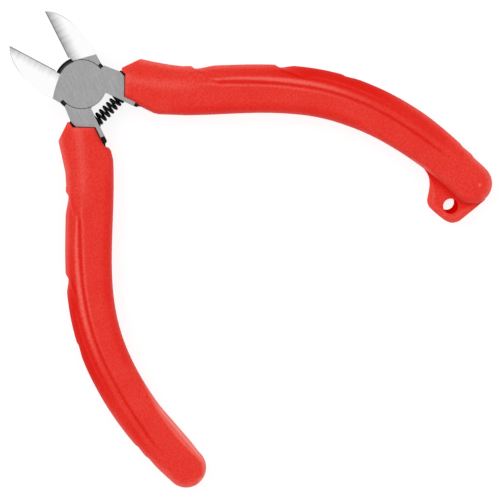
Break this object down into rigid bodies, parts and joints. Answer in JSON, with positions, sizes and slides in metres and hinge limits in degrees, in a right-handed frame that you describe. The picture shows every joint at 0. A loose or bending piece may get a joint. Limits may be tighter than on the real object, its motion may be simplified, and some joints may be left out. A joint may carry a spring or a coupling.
{
  "type": "cutting pliers",
  "caption": "Small lap-jointed cutting pliers with tapered polished blades, a coil return spring and curved vinyl grip sleeves, one with a hanging tab.",
  "frame": {"origin": "on the pivot axis, at the flat back of the head", "axes": "+Z along the pivot axis from the back of the head to its front, +Y from the pivot towards the blade tips, +X to the right handle"},
  "size_m": [0.0983, 0.1, 0.0092],
  "materials": {
    "ground_steel": "satin ground head, polished blades, black forged skin where not ground",
    "black_steel": "black oxide, semi-gloss",
    "red_vinyl": "fine matte grain"
  },
  "bodies": {
    "rear": {"rear_half": "ground_steel", "left_grip": "red_vinyl", "pivot_rivet": "ground_steel", "return_spring": "black_steel"},
    "front": {"front_half": "ground_steel", "right_grip": "red_vinyl"}
  },
  "joints": [
    {"name": "pivot", "type": "hinge", "parent": "rear", "child": "front", "pos_m": [0, 0, 0.0032], "axis": [0, 0, 1], "range_deg": [-35, 0], "stiffness_Nm_per_rad": 0.4, "springref_deg": 17.19, "deforming": ["return_spring"]}
  ]
}
